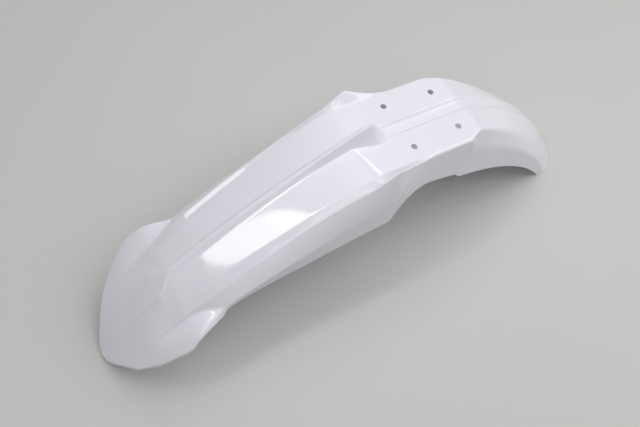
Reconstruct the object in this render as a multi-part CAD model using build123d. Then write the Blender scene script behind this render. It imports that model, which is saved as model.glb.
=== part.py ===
from build123d import *
import os
from math import cos, hypot, radians, sin, sqrt

# Front mudguard of an off-road motorcycle: one moulded plastic shell.
# Frame: the origin lies midway between the two front bolt holes, on top of the bolt plate.
# +X points to the nose, +Y to the rider's left and +Z up along the bolts. Millimetres and degrees.


def halfway(inner, outer):
    """Middle between two lines at the tongue's first two places, where the skirts are plain."""
    return [(a + b) / 2 for a, b in zip(inner[:2], outer[:2])]


# Moulded wall
wall = 2.8
crease_round = 2.4
edge_break = 1.4
soft_round = 15.0
side_round = 9.0
round_share = 0.45

# Bolt plate: a flat with a groove along its middle, between two side walls
bolt_pitch = 70.0
front_bolt_gap = 70.0
rear_bolt_gap = 62.0
bolt_hole = 8.0
plate_width = 112.4
plate_front = 6.0
plate_rear = 76.0
plate_lean = 12.0
plate_edge = 2.4
groove_width = 20.0
groove_floor = 13.0
groove_depth = 4.0
groove_front = 22.0
side_wall = 96.0
side_draft = 2.4

# Rear arch: a tunnel that falls away behind the plate on an arc
rear_start = 95.0
rear_radius = 422.0
rear_angle = 20.0
rear_sweep = 46.0
rear_width = 109.0
rear_wall = 110.0
shoulder_fade = 18.0
groove_fade = 15.0
groove_trace = 0.2

# Tongue: a ridge line on a long arc, with panels, raised borders and side skirts below it
skirt_rear = 38.0
skirt_width = 144.0
skirt_depth = 92.0
skirt_hollow = 1.6
skirt_spread = 0.5
ear_width = 135.6
ear_tail = 26.0
ear_hollow = 1.5
bend_front = 75.0
bend_gap = 4.0
bend_rise = 0.6
ridge_rear = 43.0
ridge_level = 12.5
ridge_angle = 23.6
ridge_radius = 1230.0
ridge_top = 2.4
crest_inside = 0.8
spine_width = 14.0
spine_tail_width = 30.0
spine_tail = 8.0
spine_front = 309.0
fin_root = 263.0

# Nose: a steeper arc with a narrow flat panel, trimmed to a rounded point between two fins
nose_tip = 404.5
nose_angle = 46.9
nose_tip_angle = 66.0382
nose_panel_width = 36.6
nose_panel_edge = 4.0
nose_panel_round = 1.6
nose_panel_run = 16.0
nose_shoulders = ((350.0, 80.4), (368.0, 68.2), (392.0, 33.0))
fin_corner = 319.0
fin_width = 183.0
fin_corner_round = 12.0
fin_lead = 0.2
fin_flare = 2.2
overrun = 13.0

# Half width of each feature line, and its drop below the centre line. The six places are the
# skirts' rear, mid-tongue, the fins' root, the spine's end, mid-nose and just past the tip.
panel_halves = (54.5, 52.5, 46.8, 41.7, 34.5, 18.0)
panel_drops = (17.9, 13.3, 13.6, 16.3, 6.8, 0.8)
border_halves = (ear_width / 2, 61.8, 58.3, 53.2, 44.5, 28.0)
border_drops = (12.6, 15.0, 16.8, 22.3, 9.2, 1.8)
skirt_halves = (skirt_width / 2 - skirt_hollow, skirt_width / 2 - skirt_hollow, 70.0, 56.8, 51.0, 36.0)
skirt_drops = (67.5, 51.0, 36.5, 25.5, 11.0, 3.2)
edge_halves = (skirt_width / 2, skirt_width / 2 + skirt_spread, 74.0, 91.0, 97.0, 97.0)
edge_drops = (118.0, 84.5, 40.5, 30.5, 25.0, 30.0)
fold_halves = (*halfway(skirt_halves, edge_halves), 72.2, 84.5, 92.0, 92.0)
fold_drops = (*halfway(skirt_drops, edge_drops), 37.6, 23.0, 18.6, 23.0)
foot_drops = (ridge_level, 5.2, 3.0, 2.0)
nose_panel_halves = (spine_width / 2, nose_panel_width / 2, 14.0, 8.0)

# Shoulders of the rear arch behind the plate, where they have grown round, and at the rear end
shoulder_halves = (47.5, 41.0, 37.0)
shoulder_drops = (0.0, 8.5, 13.5)
side_drops = (27.5, 27.5, 34.0)

# Free lower edge behind the skirts in side view, and the ground the shell rests on
arch_front = 22.0
arch_front_height = 65.0
arch_crown = 15.0
arch_height = 56.0
notch_front = 63.0
notch_height = 63.0
notch_rear = 78.0
notch_depth = 14.0
rear_arch_middle = 157.0
rear_arch_height = 99.5
rear_toe = 259.0
rest_angle = 8.8
rest_depth = 214.4

tongue_middle = (skirt_rear + fin_root) / 2
nose_middle = (spine_front + nose_tip) / 2
nose_end = nose_tip + overrun
nose_radius = (nose_tip - spine_front) / (sin(radians(nose_tip_angle)) - sin(radians(nose_angle)))
flat_start = spine_front + nose_panel_run
ear_end = plate_front - ear_tail
bend_sweep = (bend_front - ridge_rear - bend_gap) / (ear_width / 2)
stations = (skirt_rear, tongue_middle, fin_root, spine_front, nose_middle, nose_end)
clear = 2 * nose_end

# Corners of a section outside: crest, foot, panel edge, border and skirt crease
creases = (crease_round, crease_round, crease_round, edge_break, crease_round)
crease_forms = (1.0, 1.0, 1.0, 0.0, 1.0)


def rail(xs, values):
    """A smooth line through values at rising places xs, which never overshoots them."""
    steps = [(b - a) / (q - p) for p, q, a, b in zip(xs, xs[1:], values, values[1:])]
    slopes = [steps[0]]
    for before, after in zip(steps, steps[1:]):
        slopes.append(2 * before * after / (before + after) if before * after > 0 else 0.0)
    slopes.append(steps[-1])

    def at(x):
        i = max(k for k in range(len(steps)) if xs[k] <= x or k == 0)
        width = xs[i + 1] - xs[i]
        t = (x - xs[i]) / width
        return (
            values[i] * (1 + 2 * t) * (1 - t) ** 2
            + slopes[i] * width * t * (1 - t) ** 2
            + values[i + 1] * t * t * (3 - 2 * t)
            - slopes[i + 1] * width * t * t * (1 - t)
        )

    return at


def falling_arc(x, start, level, angle, radius):
    """Height and slope at x of an arc that leaves (start, level) falling at an angle."""
    lean = sin(radians(angle)) + (x - start) / radius
    rise = sqrt(1 - lean * lean)
    return level - radius * (cos(radians(angle)) - rise), lean / rise


def top_line(x):
    """Side view of the centre line: the spine's ridge, then the steeper nose."""
    level, slope = falling_arc(min(x, spine_front), bend_front, ridge_level, ridge_angle, ridge_radius)
    if x <= spine_front:
        return level, slope
    return falling_arc(x, spine_front, level, nose_angle, nose_radius)


lines = [
    (rail(stations, panel_halves), rail(stations, panel_drops)),
    (rail(stations, border_halves), rail(stations, border_drops)),
    (rail(stations, skirt_halves), rail(stations, skirt_drops)),
    (rail(stations, fold_halves), rail(stations, fold_drops)),
    (rail(stations, edge_halves), rail(stations, edge_drops)),
]
foot_drop = rail((bend_front, tongue_middle, fin_root, spine_front), foot_drops)
nose_panel_half = rail((spine_front, flat_start, nose_middle, nose_end), nose_panel_halves)
ridge_peak = top_line(ridge_rear)[0]
turns = (0.0, shoulder_fade, rear_sweep)
shoulder_half = rail(turns, shoulder_halves)
shoulder_drop = rail(turns, shoulder_drops)
side_drop = rail(turns, side_drops)


def moved_in(points, depths):
    """The line moved inwards, each of its stretches by its own depth."""
    normals = []
    for (y0, z0), (y1, z1) in zip(points, points[1:]):
        size = hypot(y1 - y0, z1 - z0)
        normals.append(((z1 - z0) / size, (y0 - y1) / size))
    moved = []
    for i, (y, z) in enumerate(points):
        before = max(i - 1, 0)
        after = min(i, len(normals) - 1)
        (ay, az), (by, bz) = normals[before], normals[after]
        depth = (depths[before] + depths[after]) / 2 / (1 + ay * by + az * bz)
        moved.append((y + (ay + by) * depth, z + (az + bz) * depth))
    return moved


def corner_spans(points, setbacks):
    """Where the rounding of each corner starts and ends, with the corner between."""
    spans = []
    for before, corner, after, setback in zip(points, points[1:], points[2:], setbacks):
        run_in = hypot(corner[0] - before[0], corner[1] - before[1])
        run_out = hypot(after[0] - corner[0], after[1] - corner[1])
        reach = min(setback, round_share * run_in, round_share * run_out)
        enter = tuple(c + (b - c) * reach / run_in for c, b in zip(corner, before))
        leave = tuple(c + (a - c) * reach / run_out for c, a in zip(corner, after))
        spans.append((enter, corner, leave))
    return spans


def straight(points, place):
    return [Edge.make_line(place(*a), place(*b)) for a, b in zip(points, points[1:])]


def section(points, place, slope=0.0, setbacks=creases, roundness=crease_forms):
    """Closed outline of half the wall, from the centre line out to the free edge and back inside.

    Outside, up to the fold next to the free edge, a corner is a parabola where its roundness is
    1 and a flat where it is 0. Inside it is sharp, and steps in by as much as is taken off outside.
    An upright cut through a sloping wall shows it thicker, where it lies level across.
    """
    stretches = []
    for (y0, z0), (y1, z1) in zip(points, points[1:]):
        level_share = (y1 - y0) ** 2 / ((y1 - y0) ** 2 + (z1 - z0) ** 2)
        stretches.append(sqrt(1 + slope * slope * level_share))
    inner = moved_in(points, [wall * stretch for stretch in stretches])
    outside = []
    start = points[0]
    for k, (enter, corner, leave) in enumerate(corner_spans(points, setbacks)):
        middle = [(e + l) / 2 for e, l in zip(enter, leave)]
        pull = [m + roundness[k] * (c - m) for m, c in zip(middle, corner)]
        outside += straight([start, enter], place)
        outside.append(Edge.make_bezier(place(*enter), place(*pull), place(*leave)))
        inner[k + 1] = tuple(q + (m + p) / 2 - c for q, m, p, c in zip(inner[k + 1], middle, pull, corner))
        start = leave
    inner[0] = (0.0, inner[0][1])
    inner[1] = (max(crest_inside / 2, inner[1][0]), inner[1][1])
    outside += straight([start, points[-2], points[-1]], place)
    inside = straight([points[-1], *inner[::-1], points[0]], place)
    return Wire(outside + inside)


def outer_lines(x):
    """Panel edge, border, skirt crease, fold and free edge of the tongue and nose at x."""
    top = top_line(x)[0]
    return [(half(x), top - drop(x)) for half, drop in lines]


def tongue_section(x):
    top, slope = top_line(x)
    spine = [(0.0, top), (ridge_top / 2, top), (spine_width / 2, top - foot_drop(x))]
    return section(spine + outer_lines(x), lambda y, z: (x, y, z), slope)


def nose_section(x):
    top, slope = top_line(x)
    half = nose_panel_half(x)
    flat = [
        (0.0, top),
        (half - nose_panel_edge, top - nose_panel_round / 2),
        (half, top - nose_panel_round),
    ]
    return section(flat + outer_lines(x), lambda y, z: (x, y, z), slope)


def bend_section():
    """The bend from tongue to plate, which sweeps back from the spine to the ears."""
    top, slope = top_line(bend_front)
    points = [(0.0, top), (ridge_top / 2, top), (spine_width / 2, 0.0)]
    for k, (y, z) in enumerate(outer_lines(ridge_rear)):
        points.append(outer_lines(bend_front - bend_sweep * y)[k])
    points[3] = (panel_halves[0], bend_rise)
    return section(points, lambda y, z: (bend_front - bend_sweep * y, y, z), slope / 2)


def plate_points(ear=0.0, ridge=-groove_depth, crest=groove_floor, foot=groove_width):
    """Half the plate's section; ear tells how far it has opened towards the ears."""
    half = plate_width / 2
    closed = [
        (half + plate_edge / 2, -plate_edge),
        (half + side_draft, -side_wall / 3),
        (half + 1.5 * side_draft, -2 * side_wall / 3),
        (half + 2 * side_draft, -side_wall),
    ]
    opened = outer_lines(ridge_rear)[1:2] + outer_lines(skirt_rear)[2:]
    sides = [tuple(c + ear * (o - c) for c, o in zip(*pair)) for pair in zip(closed, opened)]
    return [(0.0, ridge), (crest / 2, ridge), (foot / 2, 0.0), (half - plate_edge / 2, 0.0)] + sides


def ear_section(x):
    """The plate between its front edge and the ears; the spine ends here in a sloping facet."""
    ear = min(1.0, (x - ear_end) / (skirt_rear - ear_end)) ** ear_hollow
    if x <= groove_front:
        return section(plate_points(ear), lambda y, z: (x, y, z))
    fall = (ridge_rear - x) / (ridge_rear - groove_front)
    ridge = ridge_peak - fall * (ridge_peak + groove_depth)
    crest = ridge_top + fall * (groove_floor - ridge_top)
    return section(plate_points(ear, ridge, crest, spine_tail_width), lambda y, z: (x, y, z))


def leaning(x, z, angle, points, **rounds):
    """A section in a plane that leans back from the upright."""
    s, c = sin(radians(angle)), cos(radians(angle))
    return section(points, lambda y, n: (x - n * s, y, z + n * c), **rounds)


def plate_end():
    return leaning(-plate_rear, 0.0, plate_lean, plate_points())


def rear_section(turn):
    """The tunnel square to its arc, after a turn: a flat-topped section that soon grows round."""
    angle = rear_angle + turn
    x = -rear_start - rear_radius * (sin(radians(angle)) - sin(radians(rear_angle)))
    z = -rear_radius * (cos(radians(rear_angle)) - cos(radians(angle)))
    blend = min(1.0, turn / shoulder_fade)
    depth = max(groove_trace, groove_depth * (1 - turn / groove_fade))
    side = rear_width / 2
    points = [
        (0.0, -depth),
        (groove_floor / 2, -depth),
        (groove_width / 2, 0.0),
        (shoulder_half(turn), -shoulder_drop(turn)),
        (side, -side_drop(turn)),
        (side + side_draft, -(2 * side_drop(turn) + rear_wall) / 3),
        (side + 1.5 * side_draft, -(side_drop(turn) + 2 * rear_wall) / 3),
        (side + 2 * side_draft, -rear_wall),
    ]
    shoulder = crease_round + blend * (soft_round - crease_round)
    corner = edge_break + blend * (side_round - edge_break)
    rounds = (crease_round, crease_round, shoulder, corner, soft_round)
    return leaning(x, z, angle, points, setbacks=rounds, roundness=(1.0, 1.0, 1.0, blend, 1.0))


# Half the shell, lofted in stretches that meet at its creases
nose_steps = 5
rear_steps = 6
rear_crowding = 1.3
seam = 0.01
nose_places = [nose_end + k * (flat_start - nose_end) / nose_steps for k in range(nose_steps + 1)]
tongue_places = [
    spine_front,
    (spine_front + fin_root) / 2,
    fin_root,
    (fin_root + tongue_middle) / 2,
    tongue_middle,
    (tongue_middle + bend_front) / 2,
]
ear_places = [
    ridge_rear,
    skirt_rear,
    groove_front + spine_tail,
    groove_front,
    (groove_front + plate_front) / 2,
    plate_front,
    (plate_front + ear_end) / 2,
    ear_end,
]
rear_turns = [rear_sweep * (k / rear_steps) ** rear_crowding for k in range(rear_steps + 1)]

nose = Solid.make_loft([nose_section(x) for x in nose_places])
vee = Solid.make_loft([nose_section(flat_start), tongue_section(spine_front)], ruled=True)
tongue = Solid.make_loft([tongue_section(x) for x in tongue_places] + [bend_section()])
bend = Solid.make_loft([bend_section(), ear_section(ridge_rear)], ruled=True)
ears = Solid.make_loft([ear_section(x) for x in ear_places], ruled=True)
plate = Solid.make_loft([ear_section(ear_end), plate_end()], ruled=True)
corner = Solid.make_loft([plate_end(), rear_section(0.0)], ruled=True)
rear = Solid.make_loft([rear_section(turn) for turn in rear_turns])

# The stretches' skins and their mirror images, sewn into one closed solid
faces = ShapeList()
for stretch in (nose, vee, tongue, bend, ears, plate, corner, rear):
    faces += stretch.faces()
skins = [face for face in faces if len(face.edges()) == 4 and face.center().Y > seam]
ends = ShapeList([face for face in faces if len(face.edges()) > 4]).sort_by(Axis.X)
skins += [ends[0], ends[-1]]
shell = Solid(Shell(skins + [face.mirror(Plane.XZ) for face in skins]))

# Plan outline of the nose: two bulging sides that meet in a rounded tip, and the fins behind them
fin_half = fin_width / 2
root_half = skirt_width / 2 + fin_flare
with BuildSketch(Plane.XY) as outline:
    with BuildLine():
        tangents = [(1, -fin_lead), (0, -1)]
        left = Spline((fin_corner, fin_half), *nose_shoulders, (nose_tip, 0), tangents=tangents)
        right = mirror(left, Plane.XZ)
        Polyline(
            right @ 0,
            (fin_root, -root_half),
            (-clear, -clear),
            (-clear, clear),
            (fin_root, root_half),
            left @ 0,
        )
    make_face()
    fillet(outline.vertices().filter_by(lambda v: abs(v.X - fin_corner) < wall), fin_corner_round)

outside = Pos(fin_corner, 0) * Rectangle(2 * fin_width, 2 * fin_width) - outline.sketch
shell = shell - extrude(outside, -clear)


def ground(x):
    """Side view of the ground under the resting shell, which leans in this frame."""
    return -(rest_depth - x * sin(radians(-rest_angle))) / cos(radians(rest_angle))


# Side view of what is cut away below the shell, from the skirts to its rear end
skirt_corner = (skirt_rear + wall, -skirt_depth)
with BuildSketch(Plane.XZ) as below:
    with BuildLine():
        front = Spline(
            skirt_corner,
            (arch_front, -arch_front_height),
            (-arch_crown, -arch_height),
            (-notch_front, -notch_height),
        )
        notch = Line(front @ 1, (-notch_rear, -notch_height - notch_depth))
        back = ThreePointArc(
            notch @ 1,
            (-rear_arch_middle, -rear_arch_height),
            (-rear_toe, ground(-rear_toe)),
        )
        Polyline(
            back @ 1,
            (-clear, ground(-clear)),
            (-clear, -clear),
            (skirt_corner[0], -clear),
            skirt_corner,
        )
    make_face()
shell = shell - extrude(below.sketch, fin_width, both=True)

# Bolt holes
for x, gap in ((0, front_bolt_gap), (-bolt_pitch, rear_bolt_gap)):
    for side in (-1, 1):
        shell = shell - Pos(x, side * gap / 2, 0) * Cylinder(bolt_hole / 2, 4 * wall)

os.makedirs("parts", exist_ok=True)
export_step(shell, "parts/mudguard_shell.step")
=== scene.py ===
# %% [markdown]
# A front mudguard for an off-road motorcycle is one thin moulded shell. Everything that
# gives it its character is in the surface: a narrow spine along the middle, two panels with
# sloping borders, side skirts, a flat bolt plate and a rear arch that follows the wheel.
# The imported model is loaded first, because it fixes the frame that all pieces share.

import bpy
import numpy as np
from mathutils import Matrix


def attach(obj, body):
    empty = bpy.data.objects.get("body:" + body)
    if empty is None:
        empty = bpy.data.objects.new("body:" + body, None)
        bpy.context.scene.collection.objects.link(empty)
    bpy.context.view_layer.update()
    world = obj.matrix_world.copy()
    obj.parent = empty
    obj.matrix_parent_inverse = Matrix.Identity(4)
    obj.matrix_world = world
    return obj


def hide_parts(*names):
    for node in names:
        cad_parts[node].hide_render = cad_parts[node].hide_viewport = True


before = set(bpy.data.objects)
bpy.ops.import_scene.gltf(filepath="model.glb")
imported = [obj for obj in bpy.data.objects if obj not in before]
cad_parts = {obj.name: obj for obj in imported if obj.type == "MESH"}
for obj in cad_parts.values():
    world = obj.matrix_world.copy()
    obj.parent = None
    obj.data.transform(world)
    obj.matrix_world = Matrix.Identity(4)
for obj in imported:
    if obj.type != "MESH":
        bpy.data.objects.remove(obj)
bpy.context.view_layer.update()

MM = 0.001

# %% [markdown]
# The shell could be sculpted, or modelled with a few hundred control points and a
# subdivision surface. Here it is worked out instead: a cross-section with eight corners is
# carried along the part, and each corner follows its own smooth line. Such a line is called
# a rail. A rail must not swing past the values it is given, or the panels would ripple, so
# its slope at each place leans towards the gentler of the two steps beside it.

# %% Rails
def rail(places, values):
    """Cubic through the values at rising places; its slope there is the harmonic mean of the two
    neighbouring steps, or zero where they point opposite ways."""
    places, values = np.array(places, float), np.array(values, float)
    steps = np.diff(values) / np.diff(places)
    agree = steps[:-1] * steps[1:] > 0
    total = np.where(agree, steps[:-1] + steps[1:], 1.0)
    inner = np.where(agree, 2 * steps[:-1] * steps[1:] / total, 0.0)
    slopes = np.concatenate([steps[:1], inner, steps[-1:]])

    def at(x):
        i = np.clip(np.searchsorted(places, x, side="right") - 1, 0, len(steps) - 1)
        width = places[i + 1] - places[i]
        t = (x - places[i]) / width
        rising = t * t * (3 - 2 * t)
        bend = slopes[i] * t * (1 - t) ** 2 - slopes[i + 1] * t * t * (1 - t)
        return values[i] * (1 - rising) + values[i + 1] * rising + bend * width

    return at


def falling_arc(x, start, level, angle, radius):
    """Height and slope at x of a circle that leaves (start, level) falling at an angle."""
    lean = np.sin(np.radians(angle)) + (x - start) / radius
    rise = np.sqrt(1 - lean * lean)
    return level - radius * (np.cos(np.radians(angle)) - rise), lean / rise


print("a rail through 0, 1, 1 at its quarter points:", rail((0, 1, 2), (0, 1, 1))(np.array([0.5, 1.5])))

# %% [markdown]
# The tongue is the long front part. Seen from the side its centre line is a shallow arc,
# with a steeper arc for the nose. Five lines run along each side of it, and each is a list
# of places from the skirts' rear to just past the tip, all in millimetres: the place, the
# distance from the middle, and the drop below the centre line. The panel edges draw
# together, the skirts shrink, and the free edge flares into fins. Where a line turns
# quickly it has more places: at the bend and the ears, and where the fins begin.

# %% The tongue's lines
BEND_FRONT, RIDGE_REAR, SKIRT_REAR = 75.0, 43.0, 38.0
SPINE_FRONT, FIN_ROOT, NOSE_TIP, NOSE_END = 309.0, 263.0, 404.5, 417.5
VEE_LENGTH, LEDGE_FADE = 16.0, 380.0
FLAT_START = SPINE_FRONT + VEE_LENGTH
TONGUE_MIDDLE = (SKIRT_REAR + FIN_ROOT) / 2
NOSE_MIDDLE = (SPINE_FRONT + NOSE_TIP) / 2
RIDGE_HEIGHT, SPINE_HALF = 12.5, 7.0
SPINE_ARC = {"angle": 23.6, "radius": 1230.0}
NOSE_ARC = {"angle": 46.9, "radius": 520.0}
SIDE_LINES = {
    "panel": (
        (SKIRT_REAR, 55.0, 27.6), (52.0, 55.2, 21.7), (62.0, 55.3, 17.8), (BEND_FRONT, 55.5, 15.2),
        (90.0, 55.5, 13.0), (105.0, 55.0, 11.6), (TONGUE_MIDDLE, 51.9, 12.2), (FIN_ROOT, 46.8, 13.0),
        (SPINE_FRONT, 41.7, 16.0), (NOSE_MIDDLE, 34.5, 6.8), (NOSE_END, 18.0, 0.8),
    ),
    "border": (
        (SKIRT_REAR, 67.8, 12.6), (52.0, 67.6, 14.6), (64.0, 67.2, 18.6), (BEND_FRONT, 66.7, 19.6),
        (95.0, 65.6, 18.6), (TONGUE_MIDDLE, 61.8, 16.2), (FIN_ROOT, 58.3, 18.0),
        (SPINE_FRONT, 53.8, 22.0), (NOSE_MIDDLE, 50.2, 10.7), (NOSE_END, 35.6, 2.9),
    ),
    "skirt": (
        (SKIRT_REAR, 75.0, 63.0), (TONGUE_MIDDLE, 76.0, 46.5), (225.0, 75.0, 36.5), (FIN_ROOT, 72.6, 34.2),
        (280.0, 65.0, 30.0), (295.0, 58.6, 26.8), (SPINE_FRONT, 56.0, 26.0),
        (NOSE_MIDDLE, 51.0, 11.5), (NOSE_END, 36.0, 3.2),
    ),
    "fold": (
        (SKIRT_REAR, 73.3, 92.75), (TONGUE_MIDDLE, 73.7, 67.75), (FIN_ROOT, 72.9, 37.6),
        (SPINE_FRONT, 84.5, 23.0), (NOSE_MIDDLE, 92.0, 18.6), (NOSE_END, 92.0, 23.0),
    ),
    "edge": (
        (SKIRT_REAR, 71.8, 118.0), (TONGUE_MIDDLE, 71.8, 84.5), (FIN_ROOT, 73.2, 40.5),
        (SPINE_FRONT, 91.0, 30.5), (NOSE_MIDDLE, 97.0, 25.0), (NOSE_END, 97.0, 30.0),
    ),
}
LINES = []
for line in SIDE_LINES.values():
    places, halves, drops = zip(*line)
    LINES.append((rail(places, halves), rail(places, drops)))
foot_drop = rail((BEND_FRONT, TONGUE_MIDDLE, FIN_ROOT, SPINE_FRONT), (RIDGE_HEIGHT, 5.6, 3.8, 3.0))
crest_half = rail((BEND_FRONT, TONGUE_MIDDLE, SPINE_FRONT), (1.2, 2.2, 2.6))
ledge = rail((FLAT_START, NOSE_MIDDLE, LEDGE_FADE, NOSE_END), (3.2, 1.4, 0.3, 0.2))
flat_half = rail((SPINE_FRONT, FLAT_START, NOSE_MIDDLE, NOSE_END), (SPINE_HALF, 18.3, 14.0, 8.0))


def top_line(x):
    """Height and slope of the centre line: the spine's arc, then the nose's steeper arc."""
    spine, spine_slope = falling_arc(np.minimum(x, SPINE_FRONT), BEND_FRONT, RIDGE_HEIGHT, **SPINE_ARC)
    end = falling_arc(SPINE_FRONT, BEND_FRONT, RIDGE_HEIGHT, **SPINE_ARC)[0]
    nose, nose_slope = falling_arc(np.maximum(x, SPINE_FRONT), SPINE_FRONT, end, **NOSE_ARC)
    on_spine = x <= SPINE_FRONT
    return np.where(on_spine, spine, nose), np.where(on_spine, spine_slope, nose_slope)


print("ridge falls from", top_line(BEND_FRONT)[0], "to", top_line(NOSE_TIP)[0], "mm")

# %% [markdown]
# A row is one cross-section of the half shell. It keeps its place on the centre line, its
# level, the angle its plane leans back, how far it sweeps back towards the sides, the slope
# of the surface it cuts, and its eight corners as (distance from the middle, height). Rows
# are made for a whole stretch at once, so a stretch is six arrays with the same first length.

# %% Rows of the tongue and the nose
FLAT_CROWN, LEDGE_GAP, LEDGE_RUN = 0.4, 0.1, 0.55
NOSE_STEP, ROW_STEP, VEE_ROWS = 0.5, 1.0, 15
BEND_GAP, SWEEP_POWER, SWEEP_ROUNDS = 4.0, 4, 3


def stretch(x, corners, level=0.0, lean=0.0, sweep=0.0, slope=0.0):
    """Six arrays that hold a run of rows; single numbers are spread over all of them."""
    x = np.asarray(x, float)
    return [np.broadcast_to(a, x.shape).astype(float) for a in (x, level, lean, sweep, slope)] + [corners]


def outer_corners(x):
    """Panel edge, border, skirt crease, fold and free edge at x, an array of rows by five places."""
    halves = np.stack([half(x[:, k]) for k, (half, drop) in enumerate(LINES)], axis=1)
    drops = np.stack([drop(x[:, k]) for k, (half, drop) in enumerate(LINES)], axis=1)
    return np.stack([halves, top_line(x)[0] - drops], axis=2)


def pairs(*columns):
    """Corners from (distance, height) pairs, each an array over the rows or a single number."""
    count = max(np.size(part) for pair in columns for part in pair)
    spread = [[np.broadcast_to(part, (count,)) for part in pair] for pair in columns]
    return np.array(spread, float).transpose(2, 0, 1)


def tongue_rows(x, sweep):
    """Spine, panel, border and skirt; a swept row reads its outer lines further back, by its sweep times
    their distance from the middle, which is found in a few rounds."""
    top, slope = top_line(x)
    spine = pairs((0.0, top), (crest_half(x), top), (SPINE_HALF, top - foot_drop(x)))
    at = np.repeat(x[:, None], len(LINES), axis=1)
    outer = outer_corners(at)
    for _ in range(SWEEP_ROUNDS):
        outer = outer_corners(at - sweep[:, None] * outer[..., 0])
    return stretch(x, np.concatenate([spine, outer], axis=1), sweep=sweep, slope=slope)


def nose_rows(x):
    """A narrow flat panel on the nose in place of the spine, with a small ledge along its sides."""
    top, slope = top_line(x)
    half = flat_half(x)
    flat = pairs(
        (0.0, top),
        (half - LEDGE_GAP - LEDGE_RUN * ledge(x), top - FLAT_CROWN),
        (half, top - FLAT_CROWN - ledge(x)),
    )
    outer = outer_corners(np.repeat(x[:, None], len(LINES), axis=1))
    return stretch(x, np.concatenate([flat, outer], axis=1), slope=slope)


def between(first, last, count):
    """Straight blend from the last row of one stretch to the first row of another."""
    t = np.linspace(0, 1, count + 2)[1:-1]
    ends = [(a[-1], b[0]) for a, b in zip(first, last)]
    return [np.multiply.outer(1 - t, a) + np.multiply.outer(t, b) for a, b in ends]


EAR_HALF = SIDE_LINES["border"][0][1]
BEND_SWEEP = (BEND_FRONT - RIDGE_REAR - BEND_GAP) / EAR_HALF
SWEEP_FROM = (TONGUE_MIDDLE + BEND_FRONT) / 2
nose = nose_rows(np.arange(NOSE_END, FLAT_START, -NOSE_STEP))
tongue_x = np.arange(SPINE_FRONT, BEND_FRONT - ROW_STEP / 2, -ROW_STEP)
swing = np.clip((SWEEP_FROM - tongue_x) / (SWEEP_FROM - BEND_FRONT), 0, 1) ** SWEEP_POWER
tongue = tongue_rows(tongue_x, BEND_SWEEP * swing)
vee = between(nose, tongue, VEE_ROWS)
print("rows: nose", len(nose[0]), "vee", len(vee[0]), "tongue", len(tongue[0]))

# %% [markdown]
# Behind the bend lies the bolt plate, a flat with a groove along its middle. Its front
# corners rise into two ears, where the borders of the tongue run out, and the spine ends
# there in a small sloping facet. Behind the plate the shell turns down into the rear arch,
# a tunnel whose flat top soon grows round. Its rows lean further back as the arc goes on.

# %% Rows of the plate and the rear arch
PLATE_HALF, PLATE_WALL, SIDE_DRAFT = 56.2, 96.0, 2.4
EDGE_HALF, EDGE_DROP = 1.2, 2.4
GROOVE_FRONT, GROOVE_DEPTH, GROOVE_FLOOR, GROOVE_WIDTH = 22.0, 4.0, 13.0, 20.0
EAR_END, EAR_POWER = -20.0, 1.5
CREST_WIDTH, FACET_WIDTH, FACET_RUN = 2.4, 30.0, 8.0
PLATE_REAR, PLATE_LEAN = -76.0, 12.0
REAR_START, REAR_RADIUS, REAR_ANGLE, REAR_SWEEP = -95.0, 422.0, 20.0, 46.0
REAR_HALF, REAR_WALL = 54.5, 110.0
SHOULDER_FADE, GROOVE_FADE, GROOVE_TRACE = 18.0, 15.0, 0.2
BEND_ROWS, PLATE_ROWS, CORNER_ROWS, REAR_ROWS = 30, 54, 18, 340
TURNS = (0.0, SHOULDER_FADE, REAR_SWEEP)
shoulder_half = rail(TURNS, (47.5, 41.0, 37.0))
shoulder_drop = rail(TURNS, (0.0, 8.5, 13.5))
side_drop = rail(TURNS, (27.5, 27.5, 34.0))


def wall_corners(half, drop, depth):
    """Three corners down a side wall that leans out a little, each a third further from drop to depth."""
    return [(half + SIDE_DRAFT * (1 + k / 2), -drop - (depth - drop) * (k + 1) / 3) for k in range(3)]


def plate_corners(ear, ridge, crest, foot):
    """The plate's section; ear goes from 0, a plain side wall, to 1, the skirts' rear end."""
    ear, ridge, crest, foot = np.broadcast_arrays(ear, ridge, crest, foot)
    closed = np.array([(PLATE_HALF + EDGE_HALF, -EDGE_DROP), *wall_corners(PLATE_HALF, 0.0, PLATE_WALL)])
    skirt = outer_corners(np.full((1, len(LINES)), SKIRT_REAR))[0]
    border = outer_corners(np.full((1, len(LINES)), RIDGE_REAR))[0]
    opened = np.concatenate([border[1:2], skirt[2:]])
    sides = closed + ear[:, None, None] * (opened - closed)
    top = pairs((0.0, ridge), (crest / 2, ridge), (foot / 2, 0.0), (PLATE_HALF - EDGE_HALF, 0.0))
    return np.concatenate([top, sides], axis=1)


def ear_rows(x):
    """The plate from the ears to its plain part; the spine falls to the groove's floor on the way."""
    ear = np.clip((x - EAR_END) / (SKIRT_REAR - EAR_END), 0, 1) ** EAR_POWER
    fall = np.clip((RIDGE_REAR - x) / (RIDGE_REAR - GROOVE_FRONT), 0, 1)
    peak = top_line(RIDGE_REAR)[0]
    ridge = peak - fall * (peak + GROOVE_DEPTH)
    crest = CREST_WIDTH + fall * (GROOVE_FLOOR - CREST_WIDTH)
    foot = np.interp(x, (GROOVE_FRONT, GROOVE_FRONT + FACET_RUN), (GROOVE_WIDTH, FACET_WIDTH))
    return stretch(x, plate_corners(ear, ridge, crest, foot))


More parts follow.
